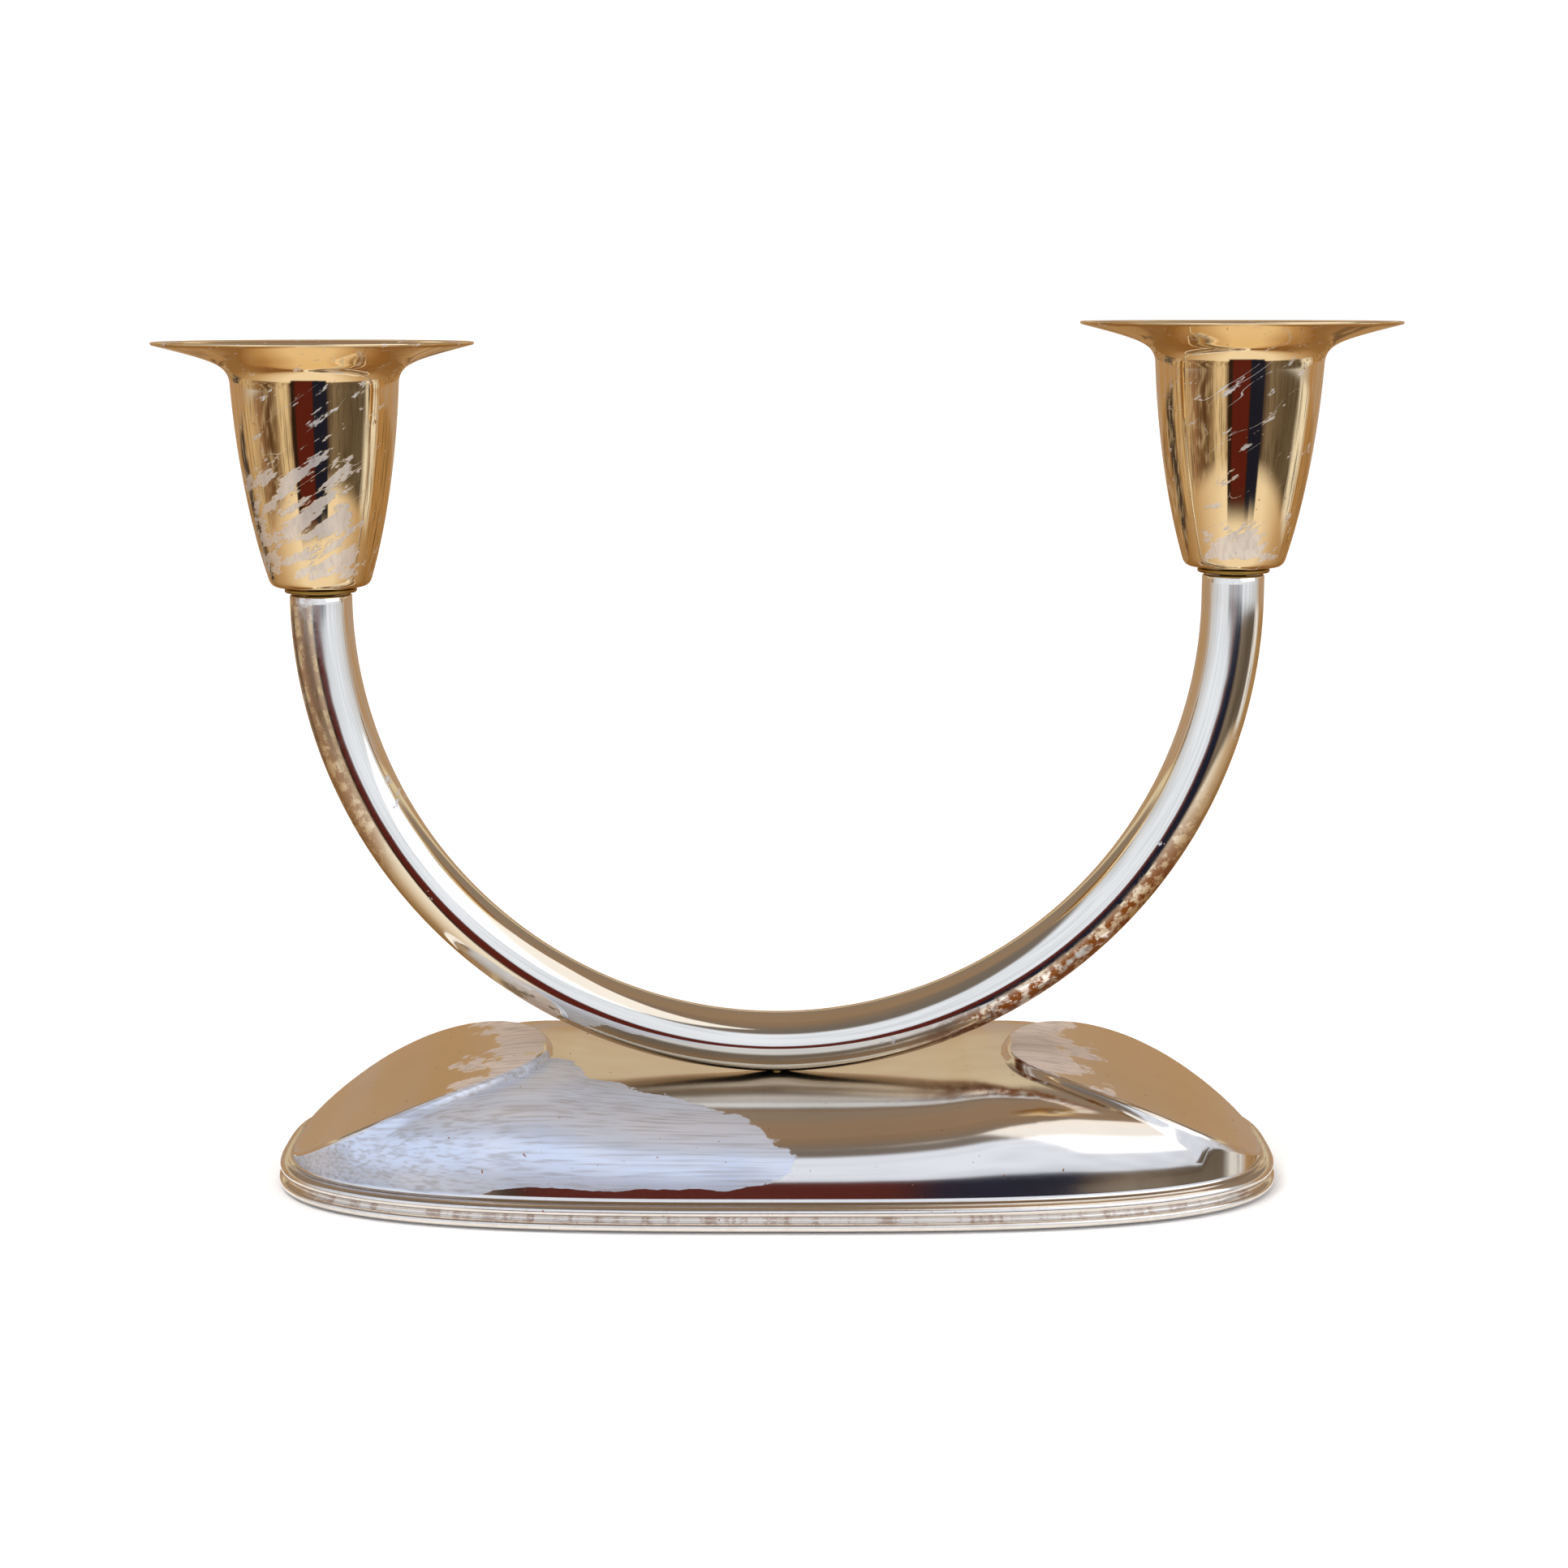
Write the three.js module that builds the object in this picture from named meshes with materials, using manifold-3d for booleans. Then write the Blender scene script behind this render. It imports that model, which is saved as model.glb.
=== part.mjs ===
// A low two-light candlestick in silver plate, in millimetres, +Z up.
// The origin is on the table, under the middle of the base. +X runs along the base, from one light to the other.
import * as THREE from "three";
import { mergeVertices } from "three/addons/utils/BufferGeometryUtils.js";
import Module from "manifold-3d";

const wasm = await Module();
wasm.setup();

// ---- Driving dimensions ----

const GAP = 0.3; // air between pieces that touch on the real object
const WELD = 1e-3; // points closer than this are one point

// Base: a boat-shaped pressing whose plan is a superellipse.
const BASE_HALF_LENGTH = 78.5;
const BASE_HALF_WIDTH = 33.5;
const PLAN_POWER = 3.0;
const SEAT_TOP = 15.3; // height of the base's top where the arm sits
const RIDGE_RISE = 3.0; // how much higher the ridge is where the end panels begin
const SHOULDER_POWER = 8.0; // cross-section: nearly flat on top as far as a shoulder; higher is tighter
const FACE_POWER = 2.0; // the face under the shoulder: higher is more upright
const WALL_HEIGHT = 2.0; // upright wall from the foot of the dome
const SHELL_THICKNESS = 1.1;
const RIM_WIDTH = 2.2; // from the outline in to the foot of the dome
const RIM_WALL = 3.6; // from the outline in to the inner face of the rolled rim
const RIM_FOOT_Z = 4.3;
const LIP_BOTTOM = 0.4;

// End panels: leaf-shaped tongues that stand proud of the dome.
const PANEL_START = 37;
const PANEL_WIDEST = 61;
const PANEL_HALF_WIDTH = 22.8;
const PANEL_TOP = 19.6;
const PANEL_END_Z = 4.9;
const PANEL_ARCH_POWER = 1.9;
const PANEL_STEP = 1.3;
const PANEL_LIP = 1.2;
const PANEL_MARGIN = 0.9; // panel edge to the foot of the dome, at the ends
const SPINE_END = 60; // the surface's rays start on a line along the base, this long each way
const STEP_SHARE = 0.45; // the panel's step is never more than this share of its height above the rim
const WALL_SHARE = 0.5; // nor the upright wall more than this share of what is left under the step
const FOOT_MARGIN = 0.3; // the panel's lip ends at least this far from the foot of the dome

// Arm: one round tube bent to a half circle. The right leg is a little longer than the left.
const TUBE_RADIUS = 4.75;
const TUBE_BORE_RADIUS = 3.75;
const ARC_RADIUS = 70.2;
const LEG = { left: 1.0, right: 4.1 };
const ARC_CENTRE_Z = SEAT_TOP + GAP + TUBE_RADIUS + ARC_RADIUS;

// Cups: cup and drip pan spun in one, on a ring and a threaded stud.
const CUP_HEIGHT = 37.4;
const SHEET = 1.0;
const CUP_FLOOR = 1.4;
const CUP_FLOOR_RADIUS = 6.0;
const PAN_RADIUS = 24.2;
const PAN_EDGE = 0.6; // thickness of the pan near its edge
const BARREL_STEPS = 7;
const PAN_STEPS = 7;
const RING_RADIUS = 5.5;
const RING_HEIGHT = 0.6;
const STUD_RADIUS = 2.0;
const STUD_HEAD_RADIUS = 3.6;
const STUD_HEAD_HEIGHT = 1.6;
const STUD_DEPTH = 7.0; // how far the stud reaches below the tube's end
const PLUG_LENGTH = 11.0;
const ARM_STUD_DEPTH = 8.0; // how far the arm's stud reaches below the seat
const ARM_STUD_HEAD_RADIUS = 2.8;
const HOLE_RADIUS = STUD_RADIUS + GAP;

// Inside the base
const FELT_THICKNESS = 0.8;
const PLATE_THICKNESS = 0.8;
const PLATE_INSET = RIM_WALL + GAP;
const BALLAST_INSET = RIM_WALL + 1.1;
const BALLAST_DROP = SHELL_THICKNESS + 1.0;
const BALLAST_POCKET_RADIUS = 9;
const WASHER_RADIUS = 6.5;
const WASHER_THICKNESS = 1.0;
const WASHER_SAG = 0.6; // how far the dome's underside has fallen away at the washer's edge
const NUT_ACROSS_FLATS = 7.0;
const NUT_THICKNESS = 3.2;

// ---- Materials ----

const finish = (color, roughness, metalness) => new THREE.MeshStandardMaterial({ color, roughness, metalness });
const silverPlate = () => finish("#cfc6ba", 0.16, 1);
const lacqueredPlate = () => finish("#c49a5c", 0.12, 1);
const brass = () => finish("#b5954f", 0.35, 1);
const steel = () => finish("#8d9095", 0.4, 1);
const castIron = () => finish("#3f4044", 0.8, 0.6);
const felt = () => finish("#2f4a39", 0.95, 0);

// ---- Helpers ----

const root = new THREE.Group();

function addPiece(name, geometry, material, parent = root) {
  const mesh = new THREE.Mesh(geometry, material);
  mesh.name = name;
  parent.add(mesh);
  return mesh;
}

function toSolid(geometry) {
  const bare = new THREE.BufferGeometry();
  const flat = geometry.index ? geometry.toNonIndexed() : geometry;
  bare.setAttribute("position", flat.getAttribute("position"));
  const welded = mergeVertices(bare, WELD);
  return new wasm.Manifold(
    new wasm.Mesh({
      numProp: 3,
      vertProperties: welded.attributes.position.array,
      triVerts: new Uint32Array(welded.index.array),
    }),
  );
}

function toGeometry(solid) {
  const mesh = solid.getMesh();
  const geometry = new THREE.BufferGeometry();
  geometry.setAttribute("position", new THREE.BufferAttribute(mesh.vertProperties, 3));
  geometry.setIndex(new THREE.BufferAttribute(mesh.triVerts, 1));
  geometry.computeVertexNormals();
  return geometry;
}

// An upright cylinder from one height to another.
function post(radius, bottom, top, segments = 24) {
  const cylinder = new THREE.CylinderGeometry(radius, radius, top - bottom, segments);
  cylinder.rotateX(Math.PI / 2);
  cylinder.translate(0, 0, (bottom + top) / 2);
  return cylinder;
}

// A body turned about Z, from [radius, height] points.
function turned(points, segments) {
  const outline = points.map(([radius, height]) => new THREE.Vector2(radius, height));
  const lathe = new THREE.LatheGeometry(outline, segments);
  lathe.rotateX(Math.PI / 2);
  return lathe;
}

// A closed ring of rectangular section.
function washer(inner, outer, bottom, top, segments = 28) {
  return turned([[inner, bottom], [outer, bottom], [outer, top], [inner, top], [inner, bottom]], segments);
}

// ---- Base surface ----

// A point on the plan outline and its outward normal, for an angle round the plan.
function outlineAt(angle) {
  const power = 2 / PLAN_POWER;
  const c = Math.cos(angle);
  const s = Math.sin(angle);
  const x = BASE_HALF_LENGTH * Math.sign(c) * Math.abs(c) ** power;
  const y = BASE_HALF_WIDTH * Math.sign(s) * Math.abs(s) ** power;
  const slopeX = Math.sign(x) * Math.abs(x / BASE_HALF_LENGTH) ** (PLAN_POWER - 1) / BASE_HALF_LENGTH;
  const slopeY = Math.sign(y) * Math.abs(y / BASE_HALF_WIDTH) ** (PLAN_POWER - 1) / BASE_HALF_WIDTH;
  return { point: new THREE.Vector2(x, y), normal: new THREE.Vector2(slopeX, slopeY).normalize() };
}

function insetOutline(angle, inset) {
  const { point, normal } = outlineAt(angle);
  return point.clone().addScaledVector(normal, -inset);
}

const ridgeHeight = (x) => SEAT_TOP + RIDGE_RISE * (x / PANEL_START) ** 2;

// The panel's height along its length: an arch that falls from the inner tip to the rim.
function panelHeight(x) {
  const run = (Math.abs(x) - PANEL_START) / (BASE_HALF_LENGTH - RIM_WIDTH - PANEL_START);
  return PANEL_TOP - (PANEL_TOP - PANEL_END_Z) * Math.max(run, 0) ** PANEL_ARCH_POWER;
}

// The panel's half width: a quarter of an ellipse from the inner tip to the widest place, then straight.
function panelHalfWidth(x) {
  const back = Math.max(PANEL_WIDEST - Math.abs(x), 0) / (PANEL_WIDEST - PANEL_START);
  return back >= 1 ? 0 : PANEL_HALF_WIDTH * Math.sqrt(1 - back * back);
}

// A ray of the surface runs from the spine out to the foot of the dome. It leaves the panel at fraction `edge`.
function rayAt(angle) {
  const { point } = outlineAt(angle);
  const foot = insetOutline(angle, RIM_WIDTH);
  const beyond = Math.max(Math.abs(point.x) - PANEL_START, 0);
  const spread = (SPINE_END - PANEL_START) / (BASE_HALF_LENGTH - PANEL_START);
  const spineX = beyond > 0 ? Math.sign(point.x) * (PANEL_START + beyond * spread) : point.x;
  const start = new THREE.Vector2(spineX, 0);
  const length = start.distanceTo(foot);
  const outer = 1 - PANEL_MARGIN / length;
  let edge = 0;
  if (beyond > 0) {
    let low = 0;
    let high = outer;
    const inside = (t) => {
      const at = start.clone().lerp(foot, t);
      return Math.abs(at.y) < panelHalfWidth(at.x);
    };
    const halvings = 30;
    for (let i = 0; i < halvings; i++) {
      const middle = (low + high) / 2;
      if (inside(middle)) low = middle;
      else high = middle;
    }
    edge = low;
  }
  return { start, foot, edge, length };
}

// Height share of the arch at a share of the way out.
const arch = (t) => Math.max(1 - t ** SHOULDER_POWER, 0) ** (1 / FACE_POWER);

// Points on the dome along one ray, from the spine to the foot: [fraction, height].
// The dome is an arch on an upright wall. Its crown is set so that the arch passes just under the panel's edge.
function domeStations(ray, faceSteps) {
  const { start, foot, edge, length } = ray;
  const xAt = (t) => start.x + (foot.x - start.x) * t;
  const stations = [];
  let crown = ridgeHeight(start.x);
  let wallTop = RIM_FOOT_Z + WALL_HEIGHT;
  let lipEnd = 0;
  if (edge > 0) {
    const edgeZ = panelHeight(xAt(edge));
    const step = Math.min(PANEL_STEP, STEP_SHARE * (edgeZ - RIM_FOOT_Z));
    wallTop = RIM_FOOT_Z + Math.min(WALL_HEIGHT, WALL_SHARE * (edgeZ - step - RIM_FOOT_Z));
    crown = wallTop + (edgeZ - step - wallTop) / arch(edge);
    lipEnd = Math.min(edge + PANEL_LIP / length, 1 - FOOT_MARGIN / length);
    for (const share of [0, 0.5, 1]) stations.push([edge * share, panelHeight(xAt(edge * share))]);
  } else {
    for (let i = 0; i < 3; i++) stations.push([0, crown]);
  }
  const lipAngle = Math.asin(lipEnd ** (SHOULDER_POWER / 2));
  for (let i = 0; i <= faceSteps; i++) {
    const angle = lipAngle + (i / faceSteps) * (Math.PI / 2 - lipAngle);
    const t = Math.sin(angle) ** (2 / SHOULDER_POWER);
    stations.push([t, wallTop + (crown - wallTop) * arch(t)]);
  }
  stations.push([1, RIM_FOOT_Z]);
  return stations;
}

// Angles round the plan: even steps between the panels, then closer round each end, mirrored in both axes.
function planAngles(middleSteps, endSteps) {
  const angleOf = (x) => Math.acos((x / BASE_HALF_LENGTH) ** (PLAN_POWER / 2));
  const tip = 0.6; // half the width of the step at the panel's inner tip
  const quarter = [];
  for (let i = 0; i < endSteps; i++) quarter.push((angleOf(PANEL_START + tip) * i) / (endSteps - 1));
  for (let i = middleSteps; i > 0; i--) quarter.push(angleOf(((PANEL_START - tip) * i) / middleSteps));
  const half = [...quarter, Math.PI / 2, ...quarter.map((a) => Math.PI - a).reverse()];
  return [...half, ...half.slice(1, -1).map((a) => 2 * Math.PI - a).reverse()];
}

// Skins neighbouring rings of points. Rings that fall together on the spine leave no faces there.
function skinRings(rings) {
  const positions = [];
  const count = rings[0].length;
  const addTriangle = (a, b, c) => {
    const shortest = Math.min(a.distanceTo(b), b.distanceTo(c), c.distanceTo(a));
    if (shortest > WELD) positions.push(...a, ...b, ...c);
  };
  for (let ring = 0; ring < rings.length - 1; ring++) {
    for (let i = 0; i < count; i++) {
      const next = (i + 1) % count;
      const [a, b] = [rings[ring][i], rings[ring][next]];
      const [c, d] = [rings[ring + 1][i], rings[ring + 1][next]];
      addTriangle(a, c, d);
      addTriangle(a, d, b);
    }
  }
  const geometry = new THREE.BufferGeometry();
  geometry.setAttribute("position", new THREE.Float32BufferAttribute(positions, 3));
  return geometry;
}

// Rings of the dome, inset from the outline and lowered, from the spine to the foot.
function domeRings(angles, faceSteps, extraInset, drop) {
  const columns = angles.map((angle) => {
    const ray = rayAt(angle);
    const foot = insetOutline(angle, RIM_WIDTH + extraInset);
    return domeStations(ray, faceSteps).map(([t, height]) => {
      const at = ray.start.clone().lerp(foot, t);
      return new THREE.Vector3(at.x, at.y, height - drop);
    });
  });
  return columns[0].map((_, ring) => columns.map((column) => column[ring]));
}

const levelRing = (angles, inset, z) =>
  angles.map((angle) => {
    const at = insetOutline(angle, inset);
    return new THREE.Vector3(at.x, at.y, z);
  });

const spineRing = (angles, z) => angles.map((angle) => new THREE.Vector3(rayAt(angle).start.x, 0, z));

// The rolled rim from the foot of the dome out and down: an upper bead, a groove, a lower lip. [inset, height]
const RIM_PROFILE = [
  [1.3, 4.2],
  [0.55, 3.9],
  [0.2, 3.3],
  [0.45, 2.7],
  [0.95, 2.2],
  [0.85, 1.7],
  [0.15, 1.5],
  [0, 1.0],
  [0.3, LIP_BOTTOM],
  [RIM_WALL, LIP_BOTTOM],
];

function baseShell() {
  const angles = planAngles(4, 10);
  const outer = domeRings(angles, 6, 0, 0);
  const rim = RIM_PROFILE.map(([inset, z]) => levelRing(angles, inset, z));
  const inner = domeRings(angles, 4, RIM_WALL - RIM_WIDTH, SHELL_THICKNESS).reverse();
  const shell = toSolid(skinRings([...outer, ...rim, ...inner]));
  const studHole = toSolid(post(HOLE_RADIUS, 0, PANEL_TOP + TUBE_RADIUS));
  return toGeometry(shell.subtract(studHole));
}

function ballastBlock() {
  const angles = planAngles(3, 8);
  const bottom = FELT_THICKNESS + GAP + PLATE_THICKNESS + GAP;
  const top = domeRings(angles, 4, BALLAST_INSET - RIM_WIDTH, BALLAST_DROP);
  const rings = [...top, levelRing(angles, BALLAST_INSET, bottom), spineRing(angles, bottom)];
  const block = toSolid(skinRings(rings));
  const pocket = toSolid(post(BALLAST_POCKET_RADIUS, 0, PANEL_TOP));
  return toGeometry(block.subtract(pocket));
}

// A flat sheet with the base's plan.
function planSheet(inset, bottom, thickness) {
  const angles = planAngles(3, 8);
  const shape = new THREE.Shape(angles.map((angle) => insetOutline(angle, inset)));
  const sheet = new THREE.ExtrudeGeometry(shape, { depth: thickness, bevelEnabled: false });
  return sheet.translate(0, 0, bottom);
}

// ---- Arm ----

// The tube's centre line: down the left leg, round the half circle and up the right leg.
class ArmLine extends THREE.Curve {
  constructor(from, to) {
    super();
    this.from = from;
    this.to = to;
  }

  static get arc() {
    return Math.PI * ARC_RADIUS;
  }

  static get total() {
    return LEG.left + ArmLine.arc + LEG.right;
  }

  getPoint(t, target = new THREE.Vector3()) {
    const along = this.from + (this.to - this.from) * t - LEG.left;
    if (along < 0) return target.set(-ARC_RADIUS, 0, ARC_CENTRE_Z - along);
    if (along > ArmLine.arc) return target.set(ARC_RADIUS, 0, ARC_CENTRE_Z + along - ArmLine.arc);
    const angle = along / ARC_RADIUS;
    return target.set(-ARC_RADIUS * Math.cos(angle), 0, ARC_CENTRE_Z - ARC_RADIUS * Math.sin(angle));
  }
}

function armSection(radius, boreRadius) {
  const section = new THREE.Shape();
  section.absarc(0, 0, radius, 0, 2 * Math.PI, false);
  if (boreRadius > 0) {
    const bore = new THREE.Path();
    bore.absarc(0, 0, boreRadius, 0, 2 * Math.PI, true);
    section.holes.push(bore);
  }
  return section;
}

function armTube() {
  const sweep = { steps: 42, curveSegments: 10, extrudePath: new ArmLine(0, ArmLine.total) };
  const tube = toSolid(new THREE.ExtrudeGeometry(armSection(TUBE_RADIUS, TUBE_BORE_RADIUS), sweep));
  const lowest = SEAT_TOP + GAP;
  const studHole = toSolid(post(HOLE_RADIUS, lowest - 1, lowest + TUBE_RADIUS));
  return toGeometry(tube.subtract(studHole));
}

// A plug brazed in one end of the tube, drilled for the cup's stud.
function endPlug(side) {
  const start = side === "left" ? 0 : ArmLine.total - PLUG_LENGTH;
  const line = new ArmLine(start, start + PLUG_LENGTH);
  const sweep = { steps: 6, curveSegments: 8, extrudePath: line };
  const plug = toSolid(new THREE.ExtrudeGeometry(armSection(TUBE_BORE_RADIUS - GAP, 0), sweep));
  const end = line.getPoint(side === "left" ? 0 : 1);
  const bore = post(HOLE_RADIUS, end.z - STUD_DEPTH - 1, end.z + 1);
  bore.translate(end.x, 0, 0);
  return toGeometry(plug.subtract(toSolid(bore)));
}

// ---- Candle cups ----

// Outside of the cup: a rounded bottom, a tapering barrel, a waist, and a pan that spreads from it.
function cupOutside() {
  const barrel = new THREE.CubicBezierCurve(
    new THREE.Vector2(8.3, 2.6),
    new THREE.Vector2(10.6, 11.0),
    new THREE.Vector2(12.1, 20.0),
    new THREE.Vector2(12.7, CUP_HEIGHT - 6.4),
  );
  const flare = new THREE.CubicBezierCurve(
    new THREE.Vector2(12.7, CUP_HEIGHT - 6.4),
    new THREE.Vector2(13.0, CUP_HEIGHT - 3.6),
    new THREE.Vector2(15.2, CUP_HEIGHT - 3.1),
    new THREE.Vector2(PAN_RADIUS - 0.2, CUP_HEIGHT - PAN_EDGE - 0.2),
  );
  const bottom = [new THREE.Vector2(6.6, 0), new THREE.Vector2(7.5, 0.5)];
  return [...bottom, ...barrel.getPoints(BARREL_STEPS), ...flare.getPoints(PAN_STEPS).slice(1)];
}

// The wall is one sheet thick. In the pan the thickness is measured upright, and falls to the edge's.
function cupBody() {
  const outside = cupOutside();
  const wall = outside.slice(2);
  const panStart = wall.length - PAN_STEPS;
  const inside = wall.map((point, i) => {
    const share = Math.max((i - panStart) / (PAN_STEPS - 1), 0);
    const x = point.x - SHEET + share * (SHEET - PAN_EDGE / 2);
    const y = Math.max(point.y, CUP_FLOOR + GAP) + share * PAN_EDGE;
    return new THREE.Vector2(x, y);
  });
  const profile = [
    [HOLE_RADIUS, 0],
    ...outside.map((point) => [point.x, point.y]),
    [PAN_RADIUS, CUP_HEIGHT - PAN_EDGE / 2],
    ...inside.reverse().map((point) => [point.x, point.y]),
    [CUP_FLOOR_RADIUS, CUP_FLOOR],
    [HOLE_RADIUS, CUP_FLOOR],
    [HOLE_RADIUS, 0],
  ];
  return turned(profile, 36);
}

// The stud: a shank below the cup's floor, and a flat head inside it.
function cupStud(floorTop) {
  const points = [
    [0, -STUD_DEPTH],
    [STUD_RADIUS, -STUD_DEPTH],
    [STUD_RADIUS, floorTop],
    [STUD_HEAD_RADIUS, floorTop],
    [STUD_HEAD_RADIUS, floorTop + STUD_HEAD_HEIGHT],
    [0, floorTop + STUD_HEAD_HEIGHT],
  ];
  return turned(points, 24);
}

function addLight(side, sign) {
  const tubeEnd = ARC_CENTRE_Z + LEG[side];
  const light = new THREE.Group();
  light.position.set(sign * ARC_RADIUS, 0, tubeEnd);
  root.add(light);
  const cupBottom = GAP + RING_HEIGHT + GAP;
  const floorTop = cupBottom + CUP_FLOOR + GAP;
  addPiece(`${side}_end_plug`, endPlug(side), brass());
  addPiece(`${side}_collar_ring`, washer(HOLE_RADIUS, RING_RADIUS, GAP, GAP + RING_HEIGHT), brass(), light);
  addPiece(`${side}_cup_stud`, cupStud(floorTop), brass(), light);
  const cup = addPiece(`${side}_candle_cup`, cupBody(), lacqueredPlate(), light);
  cup.position.z = cupBottom;
}

// ---- Fastening under the arm ----

// The stud's head lies across the tube's bore, where the bore is as wide as the head.
function armStud() {
  const boreAxis = SEAT_TOP + GAP + TUBE_RADIUS;
  const headBottom = boreAxis - Math.sqrt(TUBE_BORE_RADIUS ** 2 - ARM_STUD_HEAD_RADIUS ** 2) + GAP;
  const bottom = SEAT_TOP - ARM_STUD_DEPTH;
  const points = [
    [0, bottom],
    [STUD_RADIUS, bottom],
    [STUD_RADIUS, headBottom],
    [ARM_STUD_HEAD_RADIUS, headBottom],
    [ARM_STUD_HEAD_RADIUS, boreAxis],
    [0, boreAxis],
  ];
  return turned(points, 24);
}

function hexNut(bottom) {
  const nut = new THREE.CylinderGeometry(1, 1, NUT_THICKNESS, 6);
  const cornerRadius = NUT_ACROSS_FLATS / Math.sqrt(3);
  nut.rotateX(Math.PI / 2);
  nut.scale(cornerRadius, cornerRadius, 1);
  nut.translate(0, 0, bottom + NUT_THICKNESS / 2);
  const bore = toSolid(post(HOLE_RADIUS, bottom - 1, bottom + NUT_THICKNESS + 1));
  return toGeometry(toSolid(nut).subtract(bore));
}

// ---- Assembly ----

const washerTop = SEAT_TOP - SHELL_THICKNESS - WASHER_SAG - GAP;
const washerBottom = washerTop - WASHER_THICKNESS;

addPiece("base_shell", baseShell(), silverPlate());
addPiece("ballast_block", ballastBlock(), castIron());
addPiece("bottom_plate", planSheet(PLATE_INSET, FELT_THICKNESS + GAP, PLATE_THICKNESS), steel());
addPiece("felt_pad", planSheet(PLATE_INSET, 0, FELT_THICKNESS), felt());
addPiece("arm_tube", armTube(), silverPlate());
addPiece("arm_stud", armStud(), brass());
addPiece("arm_washer", washer(HOLE_RADIUS, WASHER_RADIUS, washerBottom, washerTop), steel());
addPiece("arm_nut", hexNut(washerBottom - GAP - NUT_THICKNESS), brass());
addLight("left", -1);
addLight("right", 1);

export default root;
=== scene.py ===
# A low two-light candlestick in silver plate: a boat-shaped pressed base, a bent tube and two spun cups.
# Sizes are in millimetres, and add_piece and weld turn them into metres. The camera, the lamps and the
# backdrop are in metres.
import bmesh
import bpy
import math
from collections import namedtuple
from mathutils import Euler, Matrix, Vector


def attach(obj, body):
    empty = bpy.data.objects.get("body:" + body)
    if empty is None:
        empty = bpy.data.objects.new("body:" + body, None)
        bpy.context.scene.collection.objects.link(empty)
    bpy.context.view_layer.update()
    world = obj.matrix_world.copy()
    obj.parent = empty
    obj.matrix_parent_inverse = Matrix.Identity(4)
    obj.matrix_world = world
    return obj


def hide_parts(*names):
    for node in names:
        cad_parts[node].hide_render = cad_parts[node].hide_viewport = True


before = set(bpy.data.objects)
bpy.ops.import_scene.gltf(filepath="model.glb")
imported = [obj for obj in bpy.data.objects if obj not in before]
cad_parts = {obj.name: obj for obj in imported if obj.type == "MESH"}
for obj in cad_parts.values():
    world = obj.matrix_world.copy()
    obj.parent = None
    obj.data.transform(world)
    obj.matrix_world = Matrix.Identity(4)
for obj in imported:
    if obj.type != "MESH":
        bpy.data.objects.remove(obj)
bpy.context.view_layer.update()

MM = 0.001

# ---------------------------------------------------------------- the camera

CAMERA_AWAY = 0.4112
CAMERA_HEIGHT = 0.1356
CAMERA_ASIDE = 0.0011
CAMERA_PITCH = math.radians(10.18)
CAMERA_LENS = 61.5  # mm, on a 36 mm sensor


def add_camera():
    data = bpy.data.cameras.new("camera")
    data.lens = CAMERA_LENS
    data.sensor_width = 36
    data.clip_start = 0.01
    camera = bpy.data.objects.new("camera", data)
    camera.location = (CAMERA_ASIDE, -CAMERA_AWAY, CAMERA_HEIGHT)
    camera.rotation_euler = Euler((math.pi / 2 - CAMERA_PITCH, 0, 0))
    bpy.context.collection.objects.link(camera)
    bpy.context.scene.camera = camera


add_camera()

# ---------------------------------------------------------------- nodes and colours


def linear(hex_colour):
    """An sRGB hex colour as linear red, green, blue and alpha."""
    values = [int(hex_colour[i : i + 2], 16) / 255 for i in (1, 3, 5)]
    return tuple(v / 12.92 if v <= 0.04045 else ((v + 0.055) / 1.055) ** 2.4 for v in values) + (1,)


def add(tree, kind, inputs=None, **settings):
    """Adds a node with its settings. An input is a value, or the socket to link to it."""
    node = tree.nodes.new(kind)
    for name, value in settings.items():
        setattr(node, name, value)
    for socket, value in (inputs or {}).items():
        if isinstance(value, bpy.types.NodeSocket):
            tree.links.new(value, node.inputs[socket])
        else:
            node.inputs[socket].default_value = value
    return node


def maths(tree, operation, *values):
    return add(tree, "ShaderNodeMath", dict(enumerate(values)), operation=operation).outputs[0]


def product(tree, first, *others):
    """The values multiplied together. For masks, it is where all of them are."""
    for other in others:
        first = maths(tree, "MULTIPLY", first, other)
    return first


def ramp_between(tree, value, low, high, smooth=True):
    """0 below low, 1 above high. With low above high it runs the other way."""
    kind = "SMOOTHSTEP" if smooth else "LINEAR"
    inputs = {"Value": value, "From Min": low, "From Max": high}
    return add(tree, "ShaderNodeMapRange", inputs, interpolation_type=kind).outputs["Result"]


def blend(tree, factor, first, second):
    """Mixes two colours."""
    inputs = {"Factor": factor, 6: first, 7: second}
    return add(tree, "ShaderNodeMix", inputs, data_type="RGBA").outputs[2]


def blend_values(tree, factor, first, second):
    inputs = {"Factor": factor, 2: first, 3: second}
    return add(tree, "ShaderNodeMix", inputs, data_type="FLOAT").outputs[0]


def noise(tree, place, size_mm, stretch=(1, 1, 1), detail=2.0, roughness=0.5, seed=0.0):
    """Noise whose features are about size_mm across, drawn out along any axis with a small stretch."""
    scale = tuple(s / size_mm for s in stretch)
    mapping = {"Vector": place, "Location": (seed, seed, seed), "Scale": scale}
    moved = add(tree, "ShaderNodeMapping", mapping).outputs[0]
    inputs = {"Vector": moved, "Scale": 1.0, "Detail": detail, "Roughness": roughness}
    return add(tree, "ShaderNodeTexNoise", inputs).outputs["Fac"]


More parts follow.
